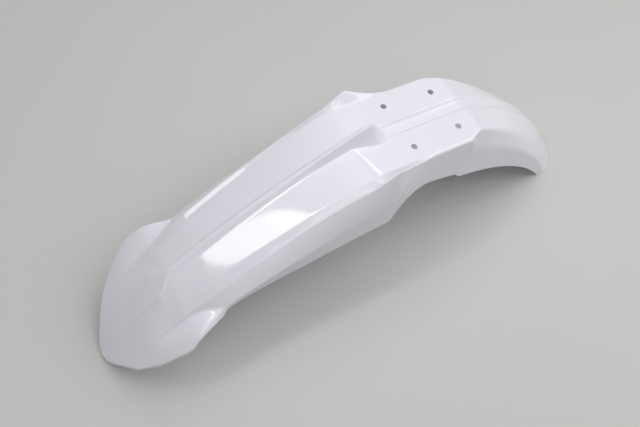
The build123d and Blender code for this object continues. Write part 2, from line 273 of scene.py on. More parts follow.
def rear_rows(turn):
    """The tunnel square to its arc: flat top, shoulder, side and wall, with a groove that fades."""
    angle = np.radians(REAR_ANGLE + turn)
    start = np.radians(REAR_ANGLE)
    x = REAR_START - REAR_RADIUS * (np.sin(angle) - np.sin(start))
    level = -REAR_RADIUS * (np.cos(start) - np.cos(angle))
    depth = np.maximum(GROOVE_TRACE, GROOVE_DEPTH * (1 - turn / GROOVE_FADE))
    drop = side_drop(turn)
    groove = [(0.0, -depth), (GROOVE_FLOOR / 2, -depth), (GROOVE_WIDTH / 2, 0.0)]
    shoulder = [(shoulder_half(turn), -shoulder_drop(turn)), (REAR_HALF, -drop)]
    walls = wall_corners(REAR_HALF, drop, REAR_WALL)
    return stretch(x, pairs(*groove, *shoulder, *walls), level, REAR_ANGLE + turn)


ears = ear_rows(np.arange(RIDGE_REAR, EAR_END - ROW_STEP / 2, -ROW_STEP))
plain_plate = plate_corners(np.zeros(1), -GROOVE_DEPTH, GROOVE_FLOOR, GROOVE_WIDTH)
plate_end = stretch([PLATE_REAR], plain_plate, lean=PLATE_LEAN)
rear = rear_rows(np.linspace(0, REAR_SWEEP, REAR_ROWS))
runs = [nose, vee, tongue, between(tongue, ears, BEND_ROWS), ears]
runs += [between(ears, plate_end, PLATE_ROWS), plate_end, between(plate_end, rear, CORNER_ROWS), rear]
rows = [np.concatenate(parts) for parts in zip(*runs)]
print("rows in all", len(rows[0]))

# %% [markdown]
# A mould has no sharp corners, so the places where two stretches meet are softened. Moving
# every value a little towards the mean of its two neighbours, a few times over, rounds a
# crease over about two rows each way, and leaves smooth stretches as they are.

# %% Soften the creases that run across
CREASE_ROUNDS = 6


def soften(values, times):
    """Each value becomes half itself and a quarter of either neighbour, a number of times."""
    values = values.copy()
    for _ in range(times):
        values[1:-1] = (values[:-2] + 2 * values[1:-1] + values[2:]) / 4
    return values


rows = [soften(values, CREASE_ROUNDS) for values in rows]
ROW_X, ROW_LEVEL, ROW_LEAN, ROW_SWEEP, ROW_SLOPE, CORNERS = rows


def placed(corners):
    """Puts (distance, height) corners into space by their row's place, lean and sweep."""
    shape = (-1,) + (1,) * (corners.ndim - 2)
    y, height = corners[..., 0], corners[..., 1]
    lean = np.radians(ROW_LEAN).reshape(shape)
    x = ROW_X.reshape(shape) - height * np.sin(lean) - ROW_SWEEP.reshape(shape) * y
    return np.stack([x, y, ROW_LEVEL.reshape(shape) + height * np.cos(lean)], axis=-1)


print("outermost corner reaches", np.abs(placed(CORNERS)[..., 1]).max(), "mm from the middle")

# %% [markdown]
# The shell's free edge is not a section: it is a trim line. Seen from above, two bulging
# sides meet at the nose's rounded tip and end in the corners of the fins. Seen from the
# side, a curved cut runs up behind the skirts, along the plate's walls, over a small step
# and down the arch to the rear toes. The rear end is made to stand, so a plane trims it.

# %% Trim lines
def curve_through(points, start=None, end=None, count=600):
    """Cubic through the points with even curvature, timed by their distances; the ends are free or take
    the given directions."""
    points = np.array(points, float)
    gaps = np.linalg.norm(np.diff(points, axis=0), axis=1)
    time = np.concatenate([[0], np.cumsum(gaps)])
    system = np.diag(np.r_[2 / gaps, 0] + np.r_[0, 2 / gaps]) + np.diag(1 / gaps, 1) + np.diag(1 / gaps, -1)
    rate = 3 * np.diff(points, axis=0) / gaps[:, None] ** 2
    right = np.vstack([rate, [0, 0]]) + np.vstack([[0, 0], rate])
    for row, direction in ((0, start), (-1, end)):
        if direction is not None:
            system[row] = 0
            system[row, row] = 1
            right[row] = np.array(direction) / np.linalg.norm(direction)
    slopes = np.linalg.solve(system, right)
    s = np.linspace(0, time[-1], count)
    i = np.clip(np.searchsorted(time, s, side="right") - 1, 0, len(gaps) - 1)
    width = gaps[i][:, None]
    t = (s[:, None] - time[i][:, None]) / width
    rising = t * t * (3 - 2 * t)
    bend = slopes[i] * t * (1 - t) ** 2 - slopes[i + 1] * t * t * (1 - t)
    return points[i] * (1 - rising) + points[i + 1] * rising + bend * width


def arc_through(a, b, c, count=300):
    """Circle arc from a through b to c, by its centre and the angles seen from there."""
    a, b, c = (np.array(p, float) for p in (a, b, c))
    system = 2 * np.array([b - a, c - a])
    centre = np.linalg.solve(system, [b @ b - a @ a, c @ c - a @ a])
    angles = np.unwrap([np.arctan2(*(p - centre)[::-1]) for p in (a, b, c)])
    turn = np.linspace(angles[0], angles[2], count)[:, None]
    return centre + np.linalg.norm(a - centre) * np.hstack([np.cos(turn), np.sin(turn)])


REST_TILT, REST_DEPTH = np.radians(8.8), 214.4
GROUND_UP = np.array([np.sin(REST_TILT), 0.0, np.cos(REST_TILT)])


def ground(x):
    """Height of the plane that trims the rear end, which leans in this frame."""
    return -(REST_DEPTH + x * np.sin(REST_TILT)) / np.cos(REST_TILT)


WALL = 2.8
FIN_CORNER, FIN_HALF, FIN_ROOT_HALF, FIN_LEAD = 319.0, 91.5, 74.2, 0.2
NOSE_SHOULDERS = ((350.0, 80.4), (368.0, 68.2), (392.0, 33.0))
SKIRT_DEPTH, REAR_TOE = 92.0, -259.0
ARCH_SPOTS = ((22.0, -65.0), (-15.0, -56.0), (-63.0, -63.0))
REAR_ARCH_SPOTS = ((-78.0, -77.0), (-157.0, -99.5))
FIN_POINTS, OUTLINE_POINTS, FIN_CORNER_ROUNDS = 120, 900, 420
nose_spots = [(FIN_CORNER, FIN_HALF), *NOSE_SHOULDERS, (NOSE_TIP, 0)]
nose_side = curve_through(nose_spots, (1, -FIN_LEAD), (0, -1))
fin_side = np.linspace((FIN_ROOT, FIN_ROOT_HALF), (FIN_CORNER, FIN_HALF), FIN_POINTS)[:-1]
outline = np.vstack([fin_side, nose_side])
along = np.concatenate([[0], np.cumsum(np.linalg.norm(np.diff(outline, axis=0), axis=1))])
even = np.linspace(0, along[-1], OUTLINE_POINTS)
outline = np.stack([np.interp(even, along, outline[:, k]) for k in (0, 1)], axis=1)
outline = soften(outline, FIN_CORNER_ROUNDS)
arch = curve_through([(SKIRT_REAR + WALL, -SKIRT_DEPTH), *ARCH_SPOTS])
rear_cut = arc_through(*REAR_ARCH_SPOTS, (REAR_TOE, ground(REAR_TOE)))
lower = np.vstack([arch, rear_cut])[::-1]
print("nose outline", outline.max(axis=0), "lower edge from", lower[0], "to", lower[-1])

# %% [markdown]
# The wall is under three millimetres thick. Its inner face could be made by pushing every
# point inwards along its normal, but that folds over at tight creases. A section offset is
# safer: each straight stretch moves inwards by the wall, and neighbouring stretches meet
# again at new corners. Where a row cuts a sloping surface upright, the wall looks thicker.

# %% The inner face
INNER_CREST = 0.4


def moved_in(corners, depths):
    """Moves each stretch of the section inwards by its depth; a corner goes to where its two meet."""
    run = np.diff(corners, axis=1)
    size = np.linalg.norm(run, axis=2, keepdims=True)
    normal = np.stack([run[..., 1], -run[..., 0]], axis=2) / size
    before = np.concatenate([normal[:, :1], normal], axis=1)
    after = np.concatenate([normal, normal[:, -1:]], axis=1)
    depth_before = np.concatenate([depths[:, :1], depths], axis=1)
    depth_after = np.concatenate([depths, depths[:, -1:]], axis=1)
    depth = (depth_before + depth_after) / 2
    return corners + (before + after) * (depth / (1 + (before * after).sum(axis=2)))[..., None]


flatness = np.diff(CORNERS, axis=1)
flatness = flatness[..., 0] ** 2 / (flatness ** 2).sum(axis=2)
inner = moved_in(CORNERS, WALL * np.sqrt(1 + ROW_SLOPE[:, None] ** 2 * flatness))
inner[:, 0, 0] = 0.0
inner[:, 1, 0] = np.maximum(inner[:, 1, 0], INNER_CREST)
print("inner crest half width", inner[:, 1, 0].min(), "mm")

# %% [markdown]
# Two kinds of trim are needed. Along the sides the section itself is shortened: its last
# three corners slide up until the free edge lies on the trim line, so that the lines of the
# mesh run along the edge and no jagged saw-tooth is left. That is done here, for the
# straight outer edges of the two fins and for the lower cut behind the skirts.

# %% Shorten the sections to the free edge
LEG_RUNS, LEG_STEPS, FAR_AWAY = 3, 300, 1e6
FIN_CORNER_BACK, FIN_FLARE, FIN_BLEND, FIN_SHARES = 2.0, 0.31, 6.0, (0.2, 3.0)


def on_leg(leg, u):
    """Points at u along the polyline of four corners, where whole numbers of u are corners."""
    i = np.clip(u.astype(int), 0, LEG_RUNS - 1)
    f = (u - i)[..., None]
    rows_at = np.arange(len(leg))[:, None]
    return leg[rows_at, i] * (1 - f) + leg[rows_at, i + 1] * f


def cut_below(corners):
    """Finds where each section passes below the lower edge, and ends it there. Past the rear toe the
    sections keep their last length, because a plane trims that end."""
    leg = corners[:, 4:]
    u = np.broadcast_to(np.linspace(0, LEG_RUNS, LEG_STEPS + 1), (len(leg), LEG_STEPS + 1))
    spots = placed(on_leg(leg, u))
    edge = np.interp(spots[..., 0], lower[:, 0], lower[:, 1], right=-FAR_AWAY)
    over = spots[..., 2] - edge
    hit = (over < 0).any(axis=1)
    k = np.where(hit, (over < 0).argmax(axis=1), LEG_STEPS).clip(1)
    each = np.arange(len(leg))
    share = np.where(hit, over[each, k - 1] / (over[each, k - 1] - over[each, k]), 1.0)
    end = np.where(hit, u[each, k - 1] + share * LEG_RUNS / LEG_STEPS, LEG_RUNS)
    past = np.flatnonzero(hit & (spots[each, k, 0] <= REAR_TOE))[0]
    end[past:] = end[past - 1]
    corners = corners.copy()
    corners[:, 5:] = on_leg(leg, end[:, None] * np.arange(1, LEG_RUNS + 1) / LEG_RUNS)
    return corners, past


CORNER_K = int(np.abs(outline[:, 0] - FIN_CORNER + FIN_CORNER_BACK).argmin())


def cut_fins(corners):
    """Ends the sections of the fins at their outer edge; past the fin's corner the edge runs straight on."""
    x = placed(corners)[:, 7, 0]
    side = np.interp(x, outline[:CORNER_K, 0], outline[:CORNER_K, 1])
    side = side + np.maximum(x - outline[CORNER_K, 0], 0) * FIN_FLARE
    fold, edge = corners[:, 6], corners[:, 7]
    share = ((side - fold[:, 0]) / (edge[:, 0] - fold[:, 0])).clip(*FIN_SHARES)
    fin = ((x - FIN_ROOT) / FIN_BLEND).clip(0, 1)
    share = 1 + fin * (share - 1)
    corners = corners.copy()
    corners[:, 7] = fold + share[:, None] * (edge - fold)
    return corners


outer_section, TOE_ROW = cut_below(cut_fins(CORNERS))
inner_section, _ = cut_below(cut_fins(inner))
print("rows to the rear toe", TOE_ROW, "fin half width", outer_section[:, 7, 0].max())

# %% [markdown]
# Now each section becomes a smooth line. Its corners are rounded by short parabolas, tight
# on the tongue and wide on the shoulders of the rear arch. Points are spent where the line
# bends: four steps round every corner, and on the straight stretches one to eight, crowded
# towards the ends. The upper band of the skirts also swells a little, as moulded walls do.

# %% Round the corners of the sections
TIGHT, SHOULDER_ROUND, SIDE_ROUND, GROOVE_ROUND = 2.4, 15.0, 9.0, 1.6
CREASES = (0.8, 0.6, 1.6, 2.2, TIGHT, TIGHT)
STRAIGHT_STEPS, ROUND_STEPS = (1, 3, 8, 5, 7, 3, 4), 4
END_CROWDING, SETBACK_LIMIT, SKIRT_RUN = 0.7, 0.45, 4
BULGE, BULGE_REAR_FADE, BULGE_FRONT_FADE = 1.2, 40.0, 60.0
SKIRT_BULGE = BULGE * np.clip((ROW_X - GROOVE_FRONT) / BULGE_REAR_FADE, 0, 1)
SKIRT_BULGE *= np.clip((FIN_ROOT - ROW_X) / BULGE_FRONT_FADE, 0, 1)
arched = np.clip(ROW_LEAN / REAR_ANGLE, 0, 1)
turned = np.clip((ROW_LEAN - REAR_ANGLE) / SHOULDER_FADE, 0, 1)
SETBACKS = np.tile(CREASES, (len(ROW_X), 1))
SETBACKS[:, :2] += GROOVE_ROUND * arched[:, None]
SETBACKS[:, 2] += turned * (SHOULDER_ROUND - TIGHT)
SETBACKS[:, 3] += turned * (SIDE_ROUND - TIGHT)
SETBACKS[:, 4:] += arched[:, None] * (SHOULDER_ROUND - TIGHT)


def unit(vectors):
    """Vectors of length one."""
    return vectors / np.linalg.norm(vectors, axis=-1, keepdims=True)


def rounded(corners):
    """Straight runs joined by parabolas that leave and reach the runs at a setback from each corner; the
    skirt's run swells outwards by 4 f (1 - f) times its bulge, with f from 0 to 1 along it."""
    back = corners[:, :-2] - corners[:, 1:-1]
    ahead = corners[:, 2:] - corners[:, 1:-1]
    run_in = np.linalg.norm(back, axis=2)
    run_out = np.linalg.norm(ahead, axis=2)
    reach = np.minimum(SETBACKS, SETBACK_LIMIT * np.minimum(run_in, run_out))
    enter = corners[:, 1:-1] + back * (reach / run_in)[..., None]
    leave = corners[:, 1:-1] + ahead * (reach / run_out)[..., None]
    starts = np.concatenate([corners[:, :1], leave], axis=1)
    stops = np.concatenate([enter, corners[:, -1:]], axis=1)
    t = np.linspace(0, 1, ROUND_STEPS + 1)[1:, None]
    parts = [corners[:, :1]]
    for k, steps in enumerate(STRAIGHT_STEPS):
        f = np.linspace(0, 1, steps + 1)[:, None]
        f = ((1 - END_CROWDING) * f + END_CROWDING * f * f * (3 - 2 * f))[1:]
        run = starts[:, k, None] * (1 - f) + stops[:, k, None] * f
        if k == SKIRT_RUN:
            along_run = stops[:, k] - starts[:, k]
            outward = np.stack([-along_run[:, 1], along_run[:, 0]], axis=1)
            run = run + SKIRT_BULGE[:, None, None] * 4 * f * (1 - f) * unit(outward)[:, None]
        parts.append(run)
        if k < len(STRAIGHT_STEPS) - 1:
            corner = corners[:, k + 1, None]
            arc = enter[:, k, None] * (1 - t) ** 2 + corner * 2 * t * (1 - t) + leave[:, k, None] * t * t
            parts.append(arc)
    return np.concatenate(parts, axis=1)


outer_half = placed(rounded(outer_section))
inner_half = placed(rounded(inner_section))
print("half surface", outer_half.shape)

# %% [markdown]
# The other kind of trim works along the part. Each lengthwise line of the mesh starts where
# it crosses the nose outline and stops where it reaches the plane at the rear, and its points
# are spread anew between the two. Lines near the fins start late and lines near the toes stop
# early, so the spreading reaches further in for them than for the middle lines. Rows lie
# close together where the part bends, and far apart elsewhere.

# %% Trim the lengthwise lines
OUTER_FROM, FRONT_MARGIN = 0.6, 4.0
TOE_MARGIN, END_MARGIN, TOE_SPREAD = 40, 12.0, 60.0
BELOW_LAST = 1.001
ROW_SPACING, SPACING_ROUNDS = 3.7, 12
FINE_ZONES = (
    (-4, 10, 1.1), (188, 216, 1.0), (425, 520, 1.2),
    (530, 610, 1.25), (625, 665, 1.2), (930, 1010, 1.1),
)


def first_crossing(values):
    """Fractional row at which each column of values first turns from negative to positive."""
    k = (values >= 0).argmax(axis=0).clip(1)
    each = np.arange(values.shape[1])
    low, high = values[k - 1, each], values[k, each]
    return k - low / (high - low)


def trimmed(half):
    """Resamples the rows of every column between its own first and last place."""
    count, columns = half.shape[:2]
    side = np.interp(half[..., 0], outline[:, 0], outline[:, 1], left=FAR_AWAY, right=-1.0)
    first = first_crossing(np.where(half[..., 0] > FIN_ROOT, side - half[..., 1], 1.0))
    below = ground(half[..., 0]) - half[..., 2]
    below[:TOE_ROW - TOE_MARGIN] = -1.0
    last = first_crossing(below)
    share = np.linspace(0, 1, columns)
    outward = ((share - OUTER_FROM) / (1 - OUTER_FROM)).clip(0, 1)
    front_row = np.abs(ROW_X - FLAT_START + FRONT_MARGIN).argmin()
    root_row = np.abs(ROW_X - FIN_ROOT).argmin()
    front = front_row + outward * (root_row - front_row)
    back = np.minimum(last - END_MARGIN, TOE_ROW - TOE_SPREAD * share)
    q = ROW_PICK[:, None]
    ahead = front - (front - q) / front * (front - first)
    behind = back + (q - back) / (count - 1 - back) * (last - back)
    target = np.where(q < front, ahead, np.where(q > back, behind, q)).clip(0, count - BELOW_LAST)
    i = target.astype(int)
    f = (target - i)[..., None]
    each = np.arange(columns)[None]
    return half[i, each] * (1 - f) + half[i + 1, each] * f


dense = np.arange(len(ROW_X))
spacing = np.full(len(dense), ROW_SPACING)
for start, stop, pitch in FINE_ZONES:
    spacing[(dense >= start) & (dense < stop)] = pitch
passed = np.concatenate([[0], np.cumsum(1 / soften(spacing, SPACING_ROUNDS)[:-1])])
ROW_PICK = np.interp(np.linspace(0, passed[-1], int(passed[-1]) + 1), passed, dense)
outer_half = trimmed(outer_half)
inner_half = trimmed(inner_half)


def both_sides(half):
    """The half and its mirror image, which share the middle line."""
    return np.concatenate([half[:, :0:-1] * [1, -1, 1], half], axis=1)


OUTER, INNER = both_sides(outer_half), both_sides(inner_half)
print("grid", OUTER.shape, "from", OUTER.min(axis=(0, 1)), "to", OUTER.max(axis=(0, 1)))

# %% [markdown]
# The rear end has a faint lip, a few millimetres wide, that turns outwards, as moulded arches
# often have to stiffen the edge. It is a small push along the surface's own normal that
# grows towards the end. The normal of a grid is the cross product of its two directions.
# What of the push would go below the end's plane is taken away again.

# %% The lip at the rear end
LIP_WIDTH, LIP_HEIGHT, LIP_SIDE_POWER = 6.0, 1.3, 6


def normals_of(grid):
    """Unit cross product of the directions across and along the grid."""
    return unit(np.cross(np.gradient(grid, axis=1), np.gradient(grid, axis=0)))


lengths = np.linalg.norm(np.diff(OUTER, axis=0), axis=2)
to_end = np.concatenate([np.cumsum(lengths[::-1], axis=0)[::-1], np.zeros((1, OUTER.shape[1]))])
middle_share = 1 - np.abs(np.linspace(-1, 1, OUTER.shape[1])) ** LIP_SIDE_POWER
lip = LIP_HEIGHT * (1 - to_end / LIP_WIDTH).clip(0) ** 2 * middle_share
push = normals_of(OUTER) * lip[..., None]
push -= np.minimum(push @ GROUND_UP, 0)[..., None] * GROUND_UP
OUTER, INNER = OUTER + push, INNER + push
print("lip rows", int((lip.max(axis=1) > 0).sum()))

# %% [markdown]
# The two faces are joined round the free edge by a narrow rim. A moulded rim is never
# knife-sharp, so the border points step back by a fraction of a millimetre and a quarter
# circle on either face leads over the edge. A Bevel modifier could do it too, but here the
# directions are at hand, so four rings of points along the border are enough.

# %% The rim
RIM_ROUND, SLANT = 0.7, np.sqrt(0.5)
LAST_ROW, LAST_COLUMN = OUTER.shape[0] - 1, OUTER.shape[1] - 1


def loop_of(top, bottom, left, right):
    """Rows and columns of the points once round a block of the grid."""
    across, down = np.arange(left, right), np.arange(top, bottom)
    r = [np.full(len(across), top), down, np.full(len(across), bottom), down[::-1] + 1]
    c = [across, np.full(len(down), right), across[::-1] + 1, np.full(len(down), left)]
    return np.concatenate(r), np.concatenate(c)


edge_r, edge_c = loop_of(0, LAST_ROW, 0, LAST_COLUMN)
near_r, near_c = edge_r.clip(1, LAST_ROW - 1), edge_c.clip(1, LAST_COLUMN - 1)
outer_edge, inner_edge = OUTER[edge_r, edge_c], INNER[edge_r, edge_c]
outer_lead = unit(outer_edge - OUTER[near_r, near_c])
inner_lead = unit(inner_edge - INNER[near_r, near_c])
through = unit(inner_edge - outer_edge)
rim_rings = [
    outer_edge + RIM_ROUND * ((SLANT - 1) * outer_lead + (1 - SLANT) * through),
    outer_edge + RIM_ROUND * through,
    inner_edge - RIM_ROUND * through,
    inner_edge + RIM_ROUND * ((SLANT - 1) * inner_lead - (1 - SLANT) * through),
]
OUTER[edge_r, edge_c] = outer_edge - RIM_ROUND * outer_lead
INNER[edge_r, edge_c] = inner_edge - RIM_ROUND * inner_lead
print("rim points", len(edge_r), "rim width", np.linalg.norm(inner_edge - outer_edge, axis=1).min())

# %% [markdown]
# Four bolts pass through the plate. A Boolean would cut the holes, but it leaves long thin
# triangles on a smooth surface. Instead a small block of the grid is taken out round each
# hole and the gap is filled with rings that go from the block's border to the circle, over
# a tiny rounding, down the hole and back out to the inner face.

# %% The bolt holes
BOLT_PITCH, FRONT_BOLT_GAP, REAR_BOLT_GAP = 70.0, 70.0, 62.0
HOLE_RADIUS, HOLE_ROUND, BLOCK = 4.0, 0.45, (8.0, 9.0)
PLATE_COLUMN = LAST_COLUMN // 2 + 15
BOLT_ROWS = ((0.0, FRONT_BOLT_GAP), (-BOLT_PITCH, REAR_BOLT_GAP))
HOLES = [(x, side * gap / 2) for x, gap in BOLT_ROWS for side in (1, -1)]


def hole_block(x, y):
    """Rows and columns of the grid that lie nearest to the sides of a block round the hole."""
    plate_x = OUTER[:, PLATE_COLUMN, 0]
    row = int(np.abs(plate_x - x).argmin())
    rows_at = [int(np.abs(plate_x - x - s * BLOCK[0]).argmin()) for s in (1, -1)]
    columns_at = [int(np.abs(OUTER[row, :, 1] - y - s * BLOCK[1]).argmin()) for s in (-1, 1)]
    return *rows_at, *columns_at


def hole_rings(x, y, outer_loop, inner_loop):
    """Rings from the outer loop to the circle, down the hole, and out to the inner loop."""
    away = unit((outer_loop - [x, y, 0]) * [1, 1, 0])
    top, bottom = outer_loop[:, 2].mean(), inner_loop[:, 2].mean()

    def ring(radius, level):
        return np.array([x, y, level]) + radius * away

    r, e = HOLE_RADIUS, HOLE_ROUND
    dip = (1 - SLANT) * e
    upper = [(outer_loop + ring(r + 2 * e, top)) / 2, ring(r + 2 * e, top), ring(r + e, top)]
    upper += [ring(r + dip, top - dip), ring(r, top - e)]
    lower_rings = [ring(r, bottom + e), ring(r + dip, bottom + dip), ring(r + e, bottom)]
    return upper + lower_rings + [(inner_loop + ring(r + e, bottom)) / 2]


blocks = [hole_block(*hole) for hole in HOLES]
print("hole blocks (rows, columns)", blocks)

# %% [markdown]
# All points are gathered into one list and all faces into another. Points that belong to
# the inner face are marked in an attribute, because the underside of such a part is left
# matt in the mould while the outside is polished, and the material needs to know which is
# which.

# %% The mesh
POINTS = OUTER.shape[0] * OUTER.shape[1]
HOLE_MARKS, RIM_MARKS = (0,) * 5 + (1,) * 4, (0,) * 4
outer_ids = np.arange(POINTS).reshape(OUTER.shape[:2])
inner_ids = outer_ids + POINTS
parts = [OUTER.reshape(-1, 3), INNER.reshape(-1, 3)]
marks = [np.zeros(POINTS), np.ones(POINTS)]
faces = []


def add_rings(rings, inside):
    """Adds rings of points and gives back their numbers; inside is 1 for a ring of the inner face."""
    first = sum(len(part) for part in parts)
    parts.extend(rings)
    marks.extend(np.full(len(ring), mark) for ring, mark in zip(rings, inside))
    return list(first + np.arange(len(rings) * len(rings[0])).reshape(len(rings), -1))


def strip(a, b):
    """Faces between two closed loops that run side by side."""
    return np.stack([a, np.roll(a, -1), np.roll(b, -1), b], axis=1)


keep = np.ones((LAST_ROW, LAST_COLUMN), bool)
for (x, y), (top, bottom, left, right) in zip(HOLES, blocks):
    keep[top:bottom, left:right] = False
    r, c = loop_of(top, bottom, left, right)
    rings = hole_rings(x, y, OUTER[r, c], INNER[r, c])
    loops = [outer_ids[r, c], *add_rings(rings, HOLE_MARKS), inner_ids[r, c]]
    faces += [strip(a, b) for a, b in zip(loops, loops[1:])]
rim = [outer_ids[edge_r, edge_c], *add_rings(rim_rings, RIM_MARKS), inner_ids[edge_r, edge_c]]
faces += [strip(b, a) for a, b in zip(rim, rim[1:])]
for ids, order in ((outer_ids, (0, 1, 2, 3)), (inner_ids, (0, 3, 2, 1))):
    quads = np.stack([ids[:-1, :-1], ids[:-1, 1:], ids[1:, 1:], ids[1:, :-1]], axis=2)
    faces.append(quads[keep][:, order])
faces = np.concatenate(faces)
points = np.concatenate(parts) * MM

mesh = bpy.data.meshes.new("mudguard_skin")
mesh.from_pydata(points.tolist(), [], faces.tolist())
mesh.attributes.new("underside", "FLOAT", "POINT").data.foreach_set("value", np.concatenate(marks))
mesh.polygons.foreach_set("use_smooth", np.ones(len(faces), bool))
mesh.update()
mudguard = bpy.data.objects.new("mudguard_skin", mesh)
bpy.context.scene.collection.objects.link(mudguard)
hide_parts("mudguard_shell")
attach(mudguard, "root")
print("mesh", len(points), "points,", 2 * len(faces), "triangles")

# %% [markdown]
# Shader maths reads best as plain expressions. This small class wraps one output socket, so
# that adding or multiplying two of them adds a Math node, and one method makes any other
# node from its type, its settings and what goes into its sockets.

# %% Shader maths
class Term:
    """An output socket that can be added, subtracted and multiplied, also with numbers."""

    def __init__(self, tree, socket):
        self.tree, self.socket = tree, socket

    def node(self, kind, settings=None, inputs=None, output=0):
        """Makes a node in the same tree: settings first, then the values or links of its sockets."""
        made = self.tree.nodes.new(kind)
        for name, value in (settings or {}).items():
            setattr(made, name, value)
        for name, value in (inputs or {}).items():
            if isinstance(value, Term):
                self.tree.links.new(value.socket, made.inputs[name])
            else:
                made.inputs[name].default_value = value
        return Term(self.tree, made.outputs[output])

    def maths(self, operation, a, b):
        return self.node("ShaderNodeMath", {"operation": operation}, {0: a, 1: b})

    def __add__(self, other):
        return self.maths("ADD", self, other)

    def __sub__(self, other):
        return self.maths("SUBTRACT", self, other)

    def __mul__(self, other):
        return self.maths("MULTIPLY", self, other)

    def __rsub__(self, other):
        return self.maths("SUBTRACT", other, self)

    __radd__, __rmul__ = __add__, __mul__


def noise(place, scale, detail):
    """Soft noise over a place, as a value between 0 and 1."""
    return place.node("ShaderNodeTexNoise", None, {"Vector": place, "Scale": scale, "Detail": detail})


def mixed(share, first, second):
    """The first colour where the share is 0 and the second where it is 1."""
    return share.node("ShaderNodeMix", {"data_type": "RGBA"}, {0: share, 6: first, 7: second}, 2)


def new_material(name):
    """A material with its Principled shader and a first term, the Object coordinates."""
    material = bpy.data.materials.new(name)
    material.use_nodes = True
    tree = material.node_tree
    place = tree.nodes.new("ShaderNodeTexCoord")
    return material, tree.nodes["Principled BSDF"], Term(tree, place.outputs["Object"])


print("shader maths ready")

# %% [markdown]
# The plastic is white polypropylene, polished outside. It is not one flat colour: the resin
# flows into the mould in faint cloudy tones, the gloss is never quite even, and the surface
# has a very slight waviness that makes reflections swim a little. The underside is matt,
# with the fine grain of an etched mould. All of it is far below what the eye reads as a
# pattern, but without it the part would look like paint on glass.

# %% White plastic
WHITE, COOL_WHITE, MATT_WHITE = (0.86, 0.853, 0.92, 1), (0.83, 0.822, 0.89, 1), (0.78, 0.775, 0.83, 1)
CLOUD_SCALE, PEEL_SCALE, GRAIN_SCALE = 14.0, 160.0, 1400.0
GLOSS, GLOSS_SPREAD, MATT, MATT_SPREAD = 0.03, 0.03, 0.46, 0.1
PEEL_SHARE, BUMP_STRENGTH, BUMP_HEIGHT = 0.25, 0.12, 0.0004
PLASTIC_IOR = 1.5
plastic, shader, place = new_material("white_plastic")
cloud = noise(place, CLOUD_SCALE, 3.0)
peel = noise(place, PEEL_SCALE, 1.0)
grain = noise(place, GRAIN_SCALE, 2.0)
under = place.node("ShaderNodeAttribute", {"attribute_name": "underside"}, None, "Fac")
colour = mixed(under, mixed(cloud, WHITE, COOL_WHITE), MATT_WHITE)
gloss = GLOSS + GLOSS_SPREAD * cloud
roughness = gloss * (1 - under) + (MATT + MATT_SPREAD * grain) * under
height = peel * PEEL_SHARE * (1 - under) + grain * under
bump_inputs = {"Strength": BUMP_STRENGTH, "Distance": BUMP_HEIGHT, "Height": height}
bump = place.node("ShaderNodeBump", None, bump_inputs)
for socket, term in (("Base Color", colour), ("Roughness", roughness), ("Normal", bump)):
    place.tree.links.new(term.socket, shader.inputs[socket])
shader.inputs["IOR"].default_value = PLASTIC_IOR
mesh.materials.append(plastic)
print("plastic nodes", len(place.tree.nodes))

# %% [markdown]
# The part lies on its nose and its rear end on a plain grey sweep. In the shared frame the
# bolts are upright, so it is the floor that leans by a few degrees. The floor is one large
# sheet through the lowest point of the rear end and the lowest point of the nose, so that
# the part touches it at both. A touch of cloudy tone keeps it from looking computed.

# %% Floor
FLOOR_GREY, FLOOR_LIGHT = (0.57, 0.57, 0.556, 1), (0.62, 0.62, 0.605, 1)
FLOOR_SIZE, FLOOR_POINTS = 6000.0, 25
MOTTLE_SCALE, PAPER_ROUGHNESS = 1.3, 0.9
part_ends = points[points[:, 0] < 0], points[points[:, 0] > 0]
rear_rest, nose_rest = (end[(end @ GROUND_UP).argmin()] * [1, 0, 1] / MM for end in part_ends)
forward = unit(nose_rest - rear_rest)
sideways = np.array([0.0, 1.0, 0.0])
floor_middle = (rear_rest + nose_rest) / 2
shares = np.linspace(-0.5, 0.5, FLOOR_POINTS)
u, v = np.meshgrid(shares, shares, indexing="ij")
sheet = floor_middle + FLOOR_SIZE * (u[..., None] * forward + v[..., None] * sideways)
ids = np.arange(u.size).reshape(u.shape)
quads = np.stack([ids[:-1, :-1], ids[1:, :-1], ids[1:, 1:], ids[:-1, 1:]], axis=2).reshape(-1, 4)
floor_mesh = bpy.data.meshes.new("floor")
floor_mesh.from_pydata((sheet.reshape(-1, 3) * MM).tolist(), [], quads.tolist())
floor_mesh.update()
floor = bpy.data.objects.new("floor", floor_mesh)
bpy.context.scene.collection.objects.link(floor)
paper, paper_shader, floor_place = new_material("grey_sweep")
shade = mixed(noise(floor_place, MOTTLE_SCALE, 2.0), FLOOR_GREY, FLOOR_LIGHT)
floor_place.tree.links.new(shade.socket, paper_shader.inputs["Base Color"])
paper_shader.inputs["Roughness"].default_value = PAPER_ROUGHNESS
floor_mesh.materials.append(paper)
print("floor at", floor_middle)

# %% [markdown]
# The camera looks down on the nose from the rider's left, tilted a little. Its place, its
# angles and its lens were found from pairs of mirrored points on the part. The focal length
# is in pixels of a picture of the given width, and the lens follows from the sensor's width.

